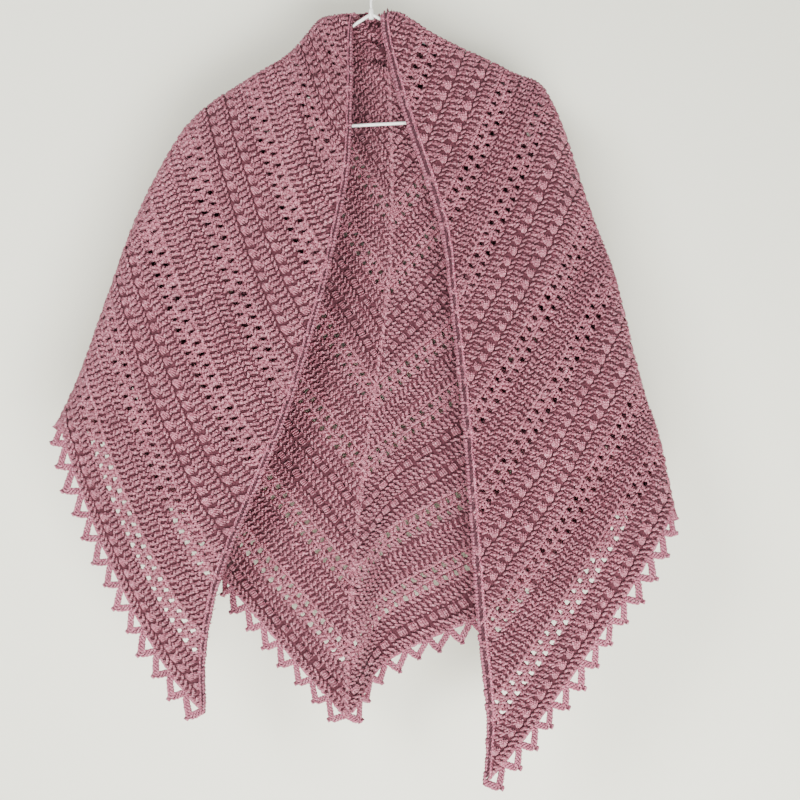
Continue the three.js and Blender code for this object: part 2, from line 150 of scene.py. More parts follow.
def smooth_path(points, each):
    """A round curve through points, with a number of steps between each pair of them."""
    points = np.asarray(points, float)
    ends = (2 * points[0] - points[1], 2 * points[-1] - points[-2])
    chain = np.vstack([ends[0], points, ends[1]])
    knots = np.concatenate([[0], np.cumsum(np.sqrt(np.linalg.norm(np.diff(chain, axis=0), axis=1)))])
    path = []
    for i in range(1, len(chain) - 2):
        slopes = []
        for k in (i, i + 1):
            before = (chain[k] - chain[k - 1]) / (knots[k] - knots[k - 1])
            after = (chain[k + 1] - chain[k]) / (knots[k + 1] - knots[k])
            share = (knots[k] - knots[k - 1]) / (knots[k + 1] - knots[k - 1])
            slopes.append((before * (1 - share) + after * share) * (knots[i + 1] - knots[i]))
        for u in np.arange(each) / each:
            path.append(cubic(chain[i], slopes[0], chain[i + 1], slopes[1], u))
    return np.array([*path, points[-1]])


def cubic(a, slope_a, b, slope_b, u):
    """A cubic from a to b, with slopes there."""
    v = 1 - u
    return a * v * v * (1 + 2 * u) + slope_a * u * v * v + b * u * u * (3 - 2 * u) - slope_b * u * u * v


def unit(vectors):
    return vectors / np.maximum(np.linalg.norm(vectors, axis=-1, keepdims=True), 1e-9)


def tube(path, radius, sides, reference, pointed=False):
    """Corners and faces of a closed tube along a path, and how far along and round each corner is.

    A pointed tube ends in one corner at each end, and a blunt one in a flat face.
    """
    path = np.asarray(path, float)
    heading = unit(np.gradient(path, axis=0))
    across = unit(np.cross(heading, reference))
    rise = np.cross(heading, across)
    turn = 2 * math.pi * (np.arange(sides) + 0.5) / sides
    radii = np.broadcast_to(np.asarray(radius, float), len(path))[:, None, None]
    ring = np.cos(turn)[None, :, None] * across[:, None] + np.sin(turn)[None, :, None] * rise[:, None]
    corners = (path[:, None] + radii * ring).reshape(-1, 3)
    far = np.concatenate([[0], np.cumsum(np.linalg.norm(np.diff(path, axis=0), axis=1))])
    first, last, shift = 0, len(path) - 1, 0
    if pointed:
        corners = np.vstack([path[:1], corners[sides:-sides], path[-1:]])
        first, last, shift = 1, len(path) - 2, 1 - sides
    faces = []
    ply = []
    for i in range(first, last):
        for k in range(sides):
            a, b = shift + i * sides + k, shift + i * sides + (k + 1) % sides
            faces.append((a, b, b + sides, a + sides))
            ply += [(far[i], k / sides), (far[i], (k + 1) / sides)]
            ply += [(far[i + 1], (k + 1) / sides), (far[i + 1], k / sides)]
    foot, head = shift + first * sides, shift + last * sides
    if pointed:
        for k in range(sides):
            after = (k + 1) % sides
            faces += [(0, foot + after, foot + k), (head + k, head + after, len(corners) - 1)]
            ply += [(0, (k + 0.5) / sides), (far[1], (k + 1) / sides), (far[1], k / sides)]
            ply += [(far[-2], k / sides), (far[-2], (k + 1) / sides), (far[-1], (k + 0.5) / sides)]
    else:
        faces += [tuple(range(foot + sides - 1, foot - 1, -1)), tuple(range(head, head + sides))]
        ply += [(0, 0)] * sides + [(far[-1], 0)] * sides
    return corners, faces, ply


def tubes_object(name, tubes):
    """One mesh of several tubes; its map ply tells how far along and round each strand a corner is."""
    vertices, faces, ply = [], [], []
    for corners, sides, places in tubes:
        faces += [tuple(len(vertices) + k for k in face) for face in sides]
        vertices += list(corners)
        ply += places
    made = mesh_object(name, vertices, faces)
    layer = made.data.uv_layers.new(name="ply")
    layer.data.foreach_set("uv", np.array(ply, float).ravel())
    made.data.shade_smooth()
    return made


frame_bends = [
    (-1.5, -82), (-50, -113), (-100, -144), (-150, -175), (-190, -201), (-202.3, -211), (-203.3, -218),
    (-196, -221), (-100, -217), (4, -212), (100, -207), (192, -202), (200, -198), (199, -191), (186, -182),
    (140, -157), (95, -133), (48, -108), (-0.5, -82),
]
HOOK_RADIUS = 20
hook_ring = HOOK_RADIUS + WIRE_RADIUS
hook_bends = [(-1, -75.64), (-1, -65.64), (7, -45)] + [
    (hook_ring * math.cos(math.radians(a)), -HOOK_RADIUS + hook_ring * math.sin(math.radians(a)))
    for a in (-30, 0, 30, 60, 90, 120, 150, 180, 205)
]


def bent_wire(bends, radius=WIRE_RADIUS):
    """Wire along bends in the hanger's plane, given by x and z."""
    path = smooth_path([(x, 0, z) for x, z in bends], 8)
    return tube(path, radius, 14, (0, 1, 0))


collar = tube([(-1, 0, -88), (-1, 0, -87), (-1, 0, -77), (-1, 0, -76)], [2.4, 3, 3, 2.4], 20, (0, 1, 0))
hanger_wire = material("White coated wire", linear(240, 240, 236), 0.32)
coat = hanger_wire.node_tree
speckle = add_node(coat, "ShaderNodeTexNoise", {"Scale": 220, "Detail": 2})
place = add_node(coat, "ShaderNodeTexCoord")
dent = add_node(coat, "ShaderNodeBump", {"Strength": 0.06, "Distance": 0.0004})
coat.links.new(place.outputs["Object"], speckle.inputs["Vector"])
coat.links.new(speckle.outputs["Fac"], dent.inputs["Height"])
coat.links.new(dent.outputs["Normal"], coat.nodes["Principled BSDF"].inputs["Normal"])
coat.nodes["Principled BSDF"].inputs["Coat Weight"].default_value = 0.35

hanger_frame = tubes_object("Hanger_frame", [bent_wire(frame_bends), collar])
hanger_hook = tubes_object("Hanger_hook", [bent_wire(hook_bends, WIRE_RADIUS - 0.4)])
for wire, node in ((hanger_frame, "hanger_frame"), (hanger_hook, "hanger_hook")):
    wire.data.materials.append(hanger_wire)
    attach(wire, "root")
    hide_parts(node)

# The cloth: a triangle crocheted from the nape outwards in 4 mm wool, so each half is a triangle of
# rows from the straight top edge, over the side fold, to the spine. It hangs over the hanger.
ROW_DEPTH = 585  # flat, square to the rows, from the nape to the lower edge
CLOTH_GAP = 0.36
ROW_STEP = 0.004
COLUMN_STEP = 2.5
FRONT_STEPS = 240
NAPE_FOLD = 9
HEM_FOLD = 36
PLEAT_START, PLEAT_CREST = 0.55, 0.85

# Row (0 at the nape, 1 at the lower edge), then x, y and z of that line of the cloth
spine_line = np.array([
    (0, 19, 11, -46), (0.08, 20, 11, -140), (0.3, 23, 11, -324), (0.45, 14, 8, -445),
    (0.56, 1, 0, -537), (0.66, -10, -8, -619), (0.82, -23, -21, -752), (1, -29, -35, -900),
])
halves = {
    "left": {
        "turn": 1,
        "edge": np.array([
            (0, 19, 9, -78), (0.045, -19, 1, -80), (0.075, -23, -10, -111), (0.14, -23, -15, -170),
            (0.3, -28, -26, -280), (0.4, -51, -36, -397), (0.56, -89, -48, -535), (0.66, -118, -56, -612),
            (0.82, -169, -63, -738), (0.92, -185, -64, -821), (1, -186, -62, -886),
        ]),
        "fold": np.array([
            (0, 19, 9, -78), (0.04, -14, 3, -80), (0.08, -40, 0, -85), (0.14, -60, 0, -90),
            (0.3, -97, 0, -131), (0.4, -144, 0, -160), (0.56, -215, -4, -216), (0.66, -265, -12, -309),
            (0.82, -305, -22, -424), (0.92, -332, -27, -505), (1, -352, -30, -550),
        ]),
        "leave": (1.4, 1, 0.5),
        "ridge": {"x": -83, "half": 26, "height": 8, "top": -120, "bottom": -330},
        "flutes": ((0.24, 0.13, 92), (0.53, 0.15, 84)),
        "pleat": (0, 0, 0),
    },
    "right": {
        "turn": -1,
        "edge": np.array([
            (0, 19, 9, -78), (0.02, 14, 0, -73), (0.05, 12, -10, -99), (0.14, 35, -16, -196),
            (0.3, 80, -28, -338), (0.4, 92, -36, -433), (0.56, 106, -46, -578), (0.66, 112, -54, -668),
            (0.82, 122, -64, -810), (0.92, 130, -70, -897), (1, 126, -72, -964),
        ]),
        "fold": np.array([
            (0, 19, 9, -78), (0.04, 24, 3, -80), (0.08, 36, 0, -84), (0.14, 73, 0, -108),
            (0.3, 165, 0, -153), (0.4, 206, 0, -179), (0.56, 257, -10, -327), (0.66, 279, -16, -388),
            (0.82, 311, -24, -523), (0.92, 329, -28, -579), (1, 344, -32, -653),
        ]),
        "leave": (1.2, 1, 0.8),
        "ridge": {"x": 206, "half": 34, "height": 11, "top": -170, "bottom": -720},
        "flutes": ((0.25, 0.15, 84), (0.51, 0.15, 74)),
        "pleat": (-20, 40, 10),
    },
}


def along(line, r):
    """Points of a line of the cloth at rows r, by cubic pieces between the table's rows."""
    knots, values = line[:, 0], line[:, 1:]
    slope = np.empty_like(values)
    slope[1:-1] = (values[2:] - values[:-2]) / (knots[2:] - knots[:-2])[:, None]
    slope[0] = (values[1] - values[0]) / (knots[1] - knots[0])
    slope[-1] = (values[-1] - values[-2]) / (knots[-1] - knots[-2])
    k = np.clip(np.searchsorted(knots, r) - 1, 0, len(knots) - 2)
    span = (knots[k + 1] - knots[k])[:, None]
    u = (r - knots[k])[:, None] / span
    return cubic(values[k], slope[k] * span, values[k + 1], slope[k + 1] * span, u)


def rising(start, end, value):
    """0 before start, 1 past end, and a smooth rise between them."""
    u = np.clip((value - start) / (end - start), 0, 1)
    return u * u * (3 - 2 * u)


def hump(offset, half):
    """A round ridge: 1 in its middle and 0 from half its width outwards."""
    return np.where(np.abs(offset) < half, np.cos(math.pi * offset / (2 * half)) ** 2, 0)


def over_the_fold(a, b, r):
    """How fast a row goes to the back at the side fold, which is rounder towards the lower edge."""
    radius = NAPE_FOLD + (HEM_FOLD - NAPE_FOLD) * r[:, None, None]
    pace = np.sqrt(4 * np.linalg.norm(a - b, axis=-1, keepdims=True) * radius)
    return pace * np.array((0, 1, 0))


def hang(half):
    """Works out one half as a grid of points: each row at even distances from the top edge."""
    r = np.arange(0.02, 1.0001, ROW_STEP)
    u = np.linspace(0, 1, FRONT_STEPS + 1)
    edge, fold, end = (along(line, r)[:, None] for line in (half["edge"], half["fold"], spine_line))
    front = cubic(edge, (fold - edge) * half["leave"], fold, over_the_fold(edge, fold, r), u[None, :, None])
    ridge = half["ridge"]
    soft = (ridge["top"] - ridge["bottom"]) / 4
    z = front[..., 2]
    shown = rising(ridge["bottom"], ridge["bottom"] + soft, z) * rising(-ridge["top"], soft - ridge["top"], -z)
    front[..., 1] -= ridge["height"] * hump(front[..., 0] - ridge["x"], ridge["half"]) * shown
    back = cubic(fold, over_the_fold(fold, end, r), end, (end - fold) * (1, 0, 1), u[None, :, None])
    for place, width, depth in half["flutes"]:
        back[..., 1] += depth * (r**1.4)[:, None] * hump(u - place, width)[None]
    crest = np.where(u < PLEAT_CREST, rising(PLEAT_START, PLEAT_CREST, u), 1 - rising(PLEAT_CREST, 1, u))
    back += (crest[None] * rising(0.5, 1, r)[:, None])[..., None] * np.array(half["pleat"])
    # Two soft creases across the back of the neck, where the cloth has slumped on the hanger
    x, z = back[..., 0], back[..., 2]
    slumped = hump(x - 19, 52) * rising(-150, -138, z) * rising(72, 84, -z)
    back[..., 1] += 11 * slumped * (1 + np.cos(2 * math.pi * (z + 107) / 23))
    whole = np.concatenate([front, back[:, 1:]], axis=1)
    steps = np.linalg.norm(np.diff(whole, axis=1), axis=-1)
    lengths = np.concatenate([np.zeros((len(r), 1)), np.cumsum(steps, axis=1)], axis=1)
    distance = np.arange(-25, lengths[-1, -1] + 30, COLUMN_STEP)
    grid = np.empty((len(r), len(distance), 3))
    for i in range(len(r)):
        first = unit(whole[i, 1] - whole[i, 0])
        last = unit(whole[i, -1] - whole[i, -2])
        # Each row goes on straight past its ends
        row = np.vstack([whole[i, 0] - 40 * first, whole[i], whole[i, -1] + 40 * last])
        far = np.concatenate([[-40], lengths[i], [lengths[i, -1] + 40]])
        for axis in range(3):
            grid[i, :, axis] = np.interp(distance, far, row[:, axis])
    tangent = unit(np.gradient(grid, axis=1))
    down = grid[-1] - grid[-2]
    down = unit(down - np.sum(down * tangent[-1], axis=-1, keepdims=True) * tangent[-1])
    beyond = np.arange(1, 12) * ROW_STEP
    grid = np.concatenate([grid, grid[-1] + beyond[:, None, None] * ROW_DEPTH * down])
    half["r"] = np.concatenate([r, 1 + beyond])
    half["distance"] = distance
    half["grid"] = grid
    half["tangent"] = unit(np.gradient(grid, axis=1))
    half["down"] = np.gradient(grid, half["r"], axis=0)
    half["normal"] = unit(np.cross(half["tangent"], half["down"])) * half["turn"]
    half["to_fold"] = np.concatenate([lengths[:, FRONT_STEPS], np.full(len(beyond), lengths[-1, FRONT_STEPS])])
    half["to_spine"] = np.concatenate([lengths[:, -1], np.full(len(beyond), lengths[-1, -1])])


for half in halves.values():
    hang(half)


def look_up(half, values, r, distance):
    """Values of a half's grid at rows r and distances from the top edge."""
    i = np.clip((r - half["r"][0]) / ROW_STEP, 0, len(half["r"]) - 1.001)
    j = np.clip((distance - half["distance"][0]) / COLUMN_STEP, 0, len(half["distance"]) - 1.001)
    a, b = i.astype(int), j.astype(int)
    s, t = (i - a)[..., None], (j - b)[..., None]
    upper = values[a, b] * (1 - t) + values[a, b + 1] * t
    lower = values[a + 1, b] * (1 - t) + values[a + 1, b + 1] * t
    return upper * (1 - s) + lower * s


def panel_of(side, part):
    """A panel's ends on each row, and its flat map: x across the stitches, y up from the lower edge."""
    half = halves[side]
    r = half["r"]
    if part == "front":
        low, high = np.full(len(r), 6.5 if side == "left" else 9.5), half["to_fold"] - CLOTH_GAP / 2
        first = 0.06 if side == "left" else 0.04
    else:
        low, high = half["to_fold"] + CLOTH_GAP / 2, half["to_spine"] - CLOTH_GAP / 2
        first = 0.025
    high = np.maximum(high, low + 0.5)
    middle = (low + high) / 2
    slip = np.sum(look_up(half, half["down"], r, middle) * look_up(half, half["tangent"], r, middle), axis=-1)
    drift = -np.concatenate([[0], np.cumsum((slip[1:] + slip[:-1]) / 2 * np.diff(r))])
    closed = 0.1 if part == "front" else 0.17
    return {"half": half, "low": low, "high": high, "first": first, "drift": drift, "closed": closed}


def row_of(y):
    """The row at height y of the flat map."""
    return 1 - y / ROW_DEPTH


def flat_range(panel, y):
    """Where the panel starts and ends on the flat map, at height y."""
    r = panel["half"]["r"]
    drift, low, high = (np.interp(row_of(y), r, panel[name]) for name in ("drift", "low", "high"))
    turn = panel["half"]["turn"]
    a, b = turn * (drift - low), turn * (drift - high)
    return np.minimum(a, b), np.maximum(a, b)


def on_panel(panel, x, y):
    """Points of the hung cloth at places of the flat map."""
    half = panel["half"]
    r = row_of(y)
    distance = np.interp(r, half["r"], panel["drift"]) - half["turn"] * x
    return look_up(half, half["grid"], r, distance)


# The stitches' sizes, flat, in millimetres, and their kinds
STITCH = 6.85
SQUARE = 2 * STITCH
SINGLE_ROW = 7
PLAIN_ROW = 11.8
MESH_ROW = 12.2
CLUSTER_ROW = 16
SINGLE, PLAIN, PLAIN_BACK, MESH, MESH_BACK, CLUSTER, CHAIN, LOOP, LOOP_BACK, SPINE = range(10)


def crochet_rows(first, closed=0.1):
    """The rows from the lower edge up: kind, lower side, height, and its turn, front or back."""
    kinds = [("single", SINGLE_ROW), ("cluster", CLUSTER_ROW), ("plain", PLAIN_ROW)]
    kinds += 4 * (
        [("mesh", MESH_ROW)] * 2 + [("plain", PLAIN_ROW)] * 3 + [("mesh", MESH_ROW)] * 2
        + [("plain", PLAIN_ROW), ("cluster", CLUSTER_ROW)] * 2 + [("plain", PLAIN_ROW)]
    )
    rows = []
    y = 0
    for number, (kind, height) in enumerate(kinds):
        if row_of(y + height) < first - 0.012:
            break
        # The first rows from the nape are closed
        if kind == "mesh" and row_of(y + height / 2) < closed:
            kind = "plain"
        rows.append((kind, y, height, number % 2))
        y += height
    return rows


def ground_sheet(name, panel):
    """A sheet behind the stitches that stands for the shade between them, given a dark painted-shade colour, with the
    open squares of the mesh rows left out.
    """
    rows = crochet_rows(panel["first"], panel["closed"])
    lines = [0.0]
    open_line = []
    for kind, y, height, turned in rows:
        if kind == "mesh":
            lines += [y + 0.26 * height, y + 0.74 * height, y + height]
            open_line += [None, turned, None]
        else:
            lines += [y + height / 2, y + height]
            open_line += [None, None]
    top = (1 - panel["first"]) * ROW_DEPTH
    lines = np.minimum(np.array(lines), top)
    low, high = flat_range(panel, lines)
    count = np.arange(math.floor(low.min() / STITCH), math.ceil(high.max() / STITCH) + 1)
    x = np.clip((count[None] * STITCH + STITCH / 2), low[:, None], high[:, None])
    y = np.repeat(lines[:, None], len(count), axis=1)
    points = on_panel(panel, x, y)
    widths = np.diff(x, axis=1)
    faces = []
    wide = len(count)
    for j, turned in enumerate(open_line):
        for i in range(wide - 1):
            if turned is not None and (count[i] + turned) % 2 == 0:
                if min(widths[j, i], widths[j + 1, i]) > STITCH - 0.1:
                    continue
            if max(widths[j, i], widths[j + 1, i]) > 0.02 and lines[j + 1] > lines[j]:
                a = j * wide + i
                faces.append((a, a + 1, a + 1 + wide, a + wide))
    made = mesh_object(name, points.reshape(-1, 3), faces)
    tidy = bmesh.new()
    tidy.from_mesh(made.data)
    bmesh.ops.remove_doubles(tidy, verts=tidy.verts, dist=0.00002)
    bmesh.ops.delete(tidy, geom=[v for v in tidy.verts if not v.link_faces], context="VERTS")
    tidy.to_mesh(made.data)
    tidy.free()
    made.data.shade_smooth()
    return made


def drape_map(name, panel, above, below):
    """The hung surface with its flat map, for laying stitches on; it goes a little past the panel."""
    half = panel["half"]
    r = np.linspace(panel["first"] - above, 1 + below, 110)
    low, high = (np.interp(r, half["r"], panel[k]) for k in ("low", "high"))
    share = np.linspace(0, 1, 2 + int((high - low).max() / 5.5))
    distance = (low - 12)[:, None] + (high - low + 24)[:, None] * share[None]
    rows = np.repeat(r[:, None], len(share), axis=1)
    points = look_up(half, half["grid"], rows, distance)
    normals = unit(look_up(half, half["normal"], rows, distance))
    x = half["turn"] * (np.interp(r, half["r"], panel["drift"])[:, None] - distance)
    flat = np.stack([x, (1 - rows) * ROW_DEPTH], axis=-1)
    return flat_map(name, points, flat, normals)


def flat_map(name, points, flat, normals):
    """A hung surface from a grid of points, with the flat place and the outward direction of each."""
    high, wide = points.shape[:2]
    flat = flat.reshape(-1, 2) * 0.001
    a = (np.arange(high - 1)[:, None] * wide + np.arange(wide - 1)[None]).ravel()
    faces = np.stack([a, a + 1, a + 1 + wide, a + wide], axis=-1)
    made = mesh_object(name, points.reshape(-1, 3), faces)
    layer = made.data.uv_layers.new(name="flat")
    layer.data.foreach_set("uv", flat[faces.ravel()].ravel())
    outward = made.data.attributes.new("outward", "FLOAT_VECTOR", "POINT")
    outward.data.foreach_set("vector", np.ascontiguousarray(normals).reshape(-1))
    made.hide_render = True
    return made


# The stitches, worked in plied wool with a hook, each seen from outside with the nape up: the yarn goes
# round in two thin posts and leaves a pair of loops along the row's lower side. Each kind is made once.
ALONG = (0.001, 0.002, 1)
stitch_kinds = bpy.data.collections.new("Stitches")


def strand(points, radius, sides=3):
    """A strand that runs out to a point at both ends; three sides are drawn a little wider than four."""
    wider = 1.5 if sides == 3 else 1.15
    return tube(points, np.multiply(radius, wider), sides, ALONG, pointed=True)


def core(points, radius):
    """A strand deep inside a stitch, painted dark as shade: its ply map lies apart from that of the other strands, so
    the yarn's colour darkens it.
    """
    corners, faces, ply = tube(points, radius, 6, ALONG)
    return corners, faces, [(-10.0, 0.0)] * len(ply)


def loops(width, y):
    """The two loops of a stitch's chain, one at the front and one at the back."""
    count = round(width / STITCH)
    bends = ((-4.1, 2.7, 0.4), (-1.7, 1.2, 1.8), (2.0, -1.0, 1.9), (4.3, -2.2, 0.5))
    made = []
    for k in range(count):
        middle = (k - (count - 1) / 2) * width / count
        for side in (1, -1):
            path = [(middle + side * x, y + rise, side * out) for x, rise, out in bends]
            made.append(strand(path, [0.7, 1.2, 1.2, 0.7]))
    return made


def stitch(number, name, strands):
    """Keeps one kind of stitch for laying; the number in its name puts the kinds in order."""
    made = tubes_object(f"stitch_{number}_{name}", strands)
    bpy.context.scene.collection.objects.unlink(made)
    stitch_kinds.objects.link(made)


def post(x, lean, height, radius=1.25):
    """A stitch's post: a strand outside and one inside, which cross, and a short grain over a tall one."""
    top, foot = height / 2 + 1.8, -height / 2 - 0.2
    ends = [radius * 0.7, radius, radius, radius * 0.7]
    outside = ((-2.1, top, 0.2), (-1.7, top / 3, 1.1), (1.2, foot / 2, 1.0), (1.9, foot, 0.2))
    inside = ((2.0, top, -0.2), (1.7, top / 4, -1.0), (-1.2, foot / 2, -1.1), (-1.9, foot, -0.2))
    made = [strand([(x + aside * lean, y, out) for aside, y, out in bends], ends) for bends in (outside, inside)]
    grain = ((2.8, 2.6, 0.5), (1.2, 1.2, 2.0), (-1.4, -0.6, 2.0), (-2.8, -1.8, 0.5))
    if height > SINGLE_ROW:
        for side in (1, -1):
            path = [(x + aside * lean, y, side * out) for aside, y, out in grain]
            made.append(strand(path, [0.7, 1.1, 1.1, 0.7]))
    return made


def cluster(lean):
    """A puff of four strands, slanted along the row outside and gathered to a round knot inside."""
    heading = np.array((0.85, 0.53 * lean, 0))
    aside = np.array((-0.53 * lean, 0.85, 0))
    strands = [*loops(SQUARE, -7.4)]
    for foot in (-3, 3):
        strands.append(strand([(foot * 1.3, 8.6, 0), (foot, 5, 0.8), (foot * 0.4, 2, 0.6)], [1.2, 1.5, 1.2]))
    for k, off in enumerate((-3.7, -1.3, 1.1, 3.6)):
        high = 1.9 - abs(off) * 0.12 + 0.3 * (k % 2)
        swell = ((-6.8 - 0.6 * (k % 2), 0.15, 0.2), (-2.8, 0.7, high), (2.6, 1.05, high), (5.6 + k % 2, 0.9, 0.5))
        path = [far * heading + wide * off * aside + np.array((0, 0.6, up)) for far, wide, up in swell]
        strands.append(strand(path, [0.8, 1.15, 1.15, 0.8], 4))
        x = off * 1.05
        high = -3.7 + abs(off) * 0.4 + 0.3 * (k % 2)
        knot = [(x * 0.4, 5.4, -0.5), (x, 2.2, high), (x, -2.2, high), (x * 0.4, -5.4, -0.5)]
        strands.append(strand(knot, [0.8, 1.05, 1.05, 0.8]))
    return strands


def mesh_post(lean):
    """A pair of posts between two open squares, with the chain that spans the squares above it."""
    chain = [
        strand([(-9, 5.2, side), (-5, 5.1, side * 1.1), (5, 5.1, side * 1.1), (9, 5.2, side)], 1.4) for side in (1, -1)
    ]
    return post(-2.3, lean, MESH_ROW, 1.4) + post(2.3, lean, MESH_ROW, 1.4) + loops(SQUARE, -5.2) + chain


stitch(SINGLE, "single", post(0, 1, SINGLE_ROW) + loops(STITCH, -3.2))
stitch(PLAIN, "plain", post(0, 1, PLAIN_ROW) + loops(STITCH, -5.4))
stitch(PLAIN_BACK, "plain_back", post(0, -1, PLAIN_ROW) + loops(STITCH, -5.4))
stitch(MESH, "mesh", mesh_post(1))
stitch(MESH_BACK, "mesh_back", mesh_post(-1))
stitch(CLUSTER, "cluster", cluster(1))
stitch(SPINE, "spine", post(0, 1, PLAIN_ROW, 1.3) + loops(STITCH, -5.4))

# A link of the edge band: two rolls of slanted grains round cores painted dark as shade
chain_link = [core([(0, 4.4, 0), (0, -4.4, 0)], 2.3)]
for side in (1, -1):
    chain_link.append(core([(side * 3.3, 4.4, 0), (side * 3.3, -4.4, 0)], 1.9))
    for face in (1, -1):
        for y in (1.9, -1.9):
            bends = ((5.7, 3.3, 0.5), (5.0, 1.2, 1.9), (3.1, -1.3, 2.5), (1.5, -3.3, 0.7))
            path = [(side * x, y + rise, face * out) for x, rise, out in bends]
            chain_link.append(strand(path, [0.8, 1.3, 1.3, 0.8], 4))
stitch(CHAIN, "chain", chain_link)


def pointed_loop(lean):
    """A loop of flat crocheted cord with a knot at its tip, which points down along the edge."""
    tip = 4.5 * lean
    bends = [(-13.2, 0.8), (-10.8, -4.0), (-6.8 + tip / 2, -8.8), (tip - 3, -12.8), (tip, -14.2),
             (tip + 3, -12.8), (6.8 + tip / 2, -8.8), (10.8, -4.0), (13.2, 0.8)]
    cord = smooth_path([(x, y, 0) for x, y in bends], 3)
    far = np.concatenate([[0], np.cumsum(np.linalg.norm(np.diff(cord, axis=0), axis=1))])
    aside = np.cross(unit(np.gradient(cord, axis=0)), (0, 0, 1))
    strands = []
    for start in range(4):
        angle = (2 * math.pi * (start / 4 + far / 15))[:, None]
        wound = 3.2 * np.cos(angle) * aside + 1.9 * np.sin(angle) * np.array((0, 0, 1))
        strands.append(strand(cord + wound, 1.15, 4))
    # Two cores along the cord, painted dark as shade
    for beside in (1.5, -1.5):
        strands.append(core(cord + beside * aside, 1.5))
    knot = ((-2.4, -16.0, 0.8), (-0.4, -20.2, 1.4), (2.2, -19.4, 1.4), (2.8, -15.6, 0.8))
    foot = ((-14.6, -0.4, 1), (-5, -0.9, 1.4), (5, -0.6, 1.4), (14.6, -0.4, 1))
    for face in (1, -1):
        strands.append(strand([(tip + x, y, face * out) for x, y, out in knot], [1.1, 1.6, 1.6, 1.1]))
        strands.append(strand([(x, y, face * out) for x, y, out in foot], 1.4))
    return strands


stitch(LOOP, "loop", pointed_loop(1))
stitch(LOOP_BACK, "loop_back", pointed_loop(-1))


def place_stitches(panel):
    """Where each stitch of a panel sits on the flat map, its kind and its size."""
    past = 1.5
    places, sizes = [], []
    for kind, y, height, turned in crochet_rows(panel["first"], panel["closed"]):
        middle = y + height / 2
        if row_of(middle) < panel["first"]:
            continue
        low, high = (float(v) for v in flat_range(panel, middle))
        pitch = SQUARE if kind in ("mesh", "cluster") else STITCH
        shift = SQUARE / 2 * turned if kind == "mesh" else 0
        number = {"single": SINGLE, "plain": PLAIN + turned, "mesh": MESH + turned, "cluster": CLUSTER}[kind]
        first = math.ceil((low - shift - past) / pitch)
        last = math.floor((high - shift + past) / pitch)
        for k in range(first, last + 1):
            places.append((k * pitch + shift, middle, number))
            sizes.append((1, 1, 1))
        # Plain stitches close a row of squares or clusters at both ends
        if pitch == SQUARE:
            for start, end in ((low, (first - 0.5) * pitch + shift), ((last + 0.5) * pitch + shift, high)):
                count = math.ceil((end - start - past) / STITCH)
                for k in range(count):
                    places.append((start + (end - start) * (k + 0.5) / count, middle, PLAIN + turned))
                    sizes.append((min(1, (end - start) / count / STITCH + 0.2), height / PLAIN_ROW, 1))
    return np.array(places), np.array(sizes)


# How the stitches lie on the hung wool cloth: each point of the flat map gets its stitch, and each
# stitch's corners go to that place of the cloth and stand out from it as they do from the flat map.
crochet = bpy.data.node_groups.new("Crochet on cloth", "GeometryNodeTree")
for name, kind, value in (
    ("Geometry", "NodeSocketGeometry", None),
    ("Cloth", "NodeSocketObject", None),
    ("Stitches", "NodeSocketCollection", None),
    ("Yarn", "NodeSocketMaterial", None),
    ("Tilt", "NodeSocketFloat", 0.06),
    ("Uneven", "NodeSocketFloat", 0.06),
    ("Seed", "NodeSocketInt", 1),
):
    socket = crochet.interface.new_socket(name=name, in_out="INPUT", socket_type=kind)
    if value is not None:
        socket.default_value = value
crochet.interface.new_socket(name="Geometry", in_out="OUTPUT", socket_type="NodeSocketGeometry")


def attribute(tree, name, kind):
    """A named value of the mesh that the tree works on."""
    return add_node(tree, "GeometryNodeInputNamedAttribute", {"Name": name}, data_type=kind).outputs["Attribute"]


wanted = add_node(crochet, "NodeGroupInput")
each_kind = {"Separate Children": True, "Reset Children": True}
kinds_in = add_node(crochet, "GeometryNodeCollectionInfo", each_kind, transform_space="ORIGINAL")
cloth_in = add_node(crochet, "GeometryNodeObjectInfo", transform_space="ORIGINAL")
tilt = add_node(crochet, "FunctionNodeRandomValue", data_type="FLOAT")
tilt_low = add_node(crochet, "ShaderNodeMath", {1: -1}, operation="MULTIPLY")
spin = add_node(crochet, "ShaderNodeCombineXYZ")
swell = add_node(crochet, "FunctionNodeRandomValue", data_type="FLOAT")
smallest = add_node(crochet, "ShaderNodeMath", {0: 1}, operation="SUBTRACT")
largest = add_node(crochet, "ShaderNodeMath", {0: 1}, operation="ADD")
sized = add_node(crochet, "ShaderNodeVectorMath", operation="SCALE")
copies = add_node(crochet, "GeometryNodeInstanceOnPoints", {"Pick Instance": True})
real = add_node(crochet, "GeometryNodeRealizeInstances")
position = add_node(crochet, "GeometryNodeInputPosition")
apart = add_node(crochet, "ShaderNodeSeparateXYZ")
flat_place = add_node(crochet, "ShaderNodeCombineXYZ")
put = add_node(crochet, "GeometryNodeSetPosition")
raised = add_node(crochet, "ShaderNodeVectorMath", operation="SCALE")
total = add_node(crochet, "ShaderNodeVectorMath", operation="ADD")
off_cloth = add_node(crochet, "FunctionNodeBooleanMath", operation="NOT")
on_map = add_node(
    crochet, "GeometryNodeStoreNamedAttribute", {"Name": "off cloth"}, data_type="BOOLEAN", domain="POINT"
)
drop = add_node(crochet, "GeometryNodeDeleteGeometry", domain="POINT")
paint = add_node(crochet, "GeometryNodeSetMaterial")
done = add_node(crochet, "NodeGroupOutput")
samples = []
for value in ("position", "outward"):
    sample = add_node(crochet, "GeometryNodeSampleUVSurface", data_type="FLOAT_VECTOR")
    crochet.links.new(cloth_in.outputs["Geometry"], sample.inputs["Mesh"])
    crochet.links.new(attribute(crochet, "flat", "FLOAT_VECTOR"), sample.inputs["UV Map"])
    crochet.links.new(flat_place.outputs["Vector"], sample.inputs["Sample UV"])
    source = position.outputs["Position"] if value == "position" else attribute(crochet, "outward", "FLOAT_VECTOR")
    crochet.links.new(source, sample.inputs["Value"])
    samples.append(sample)
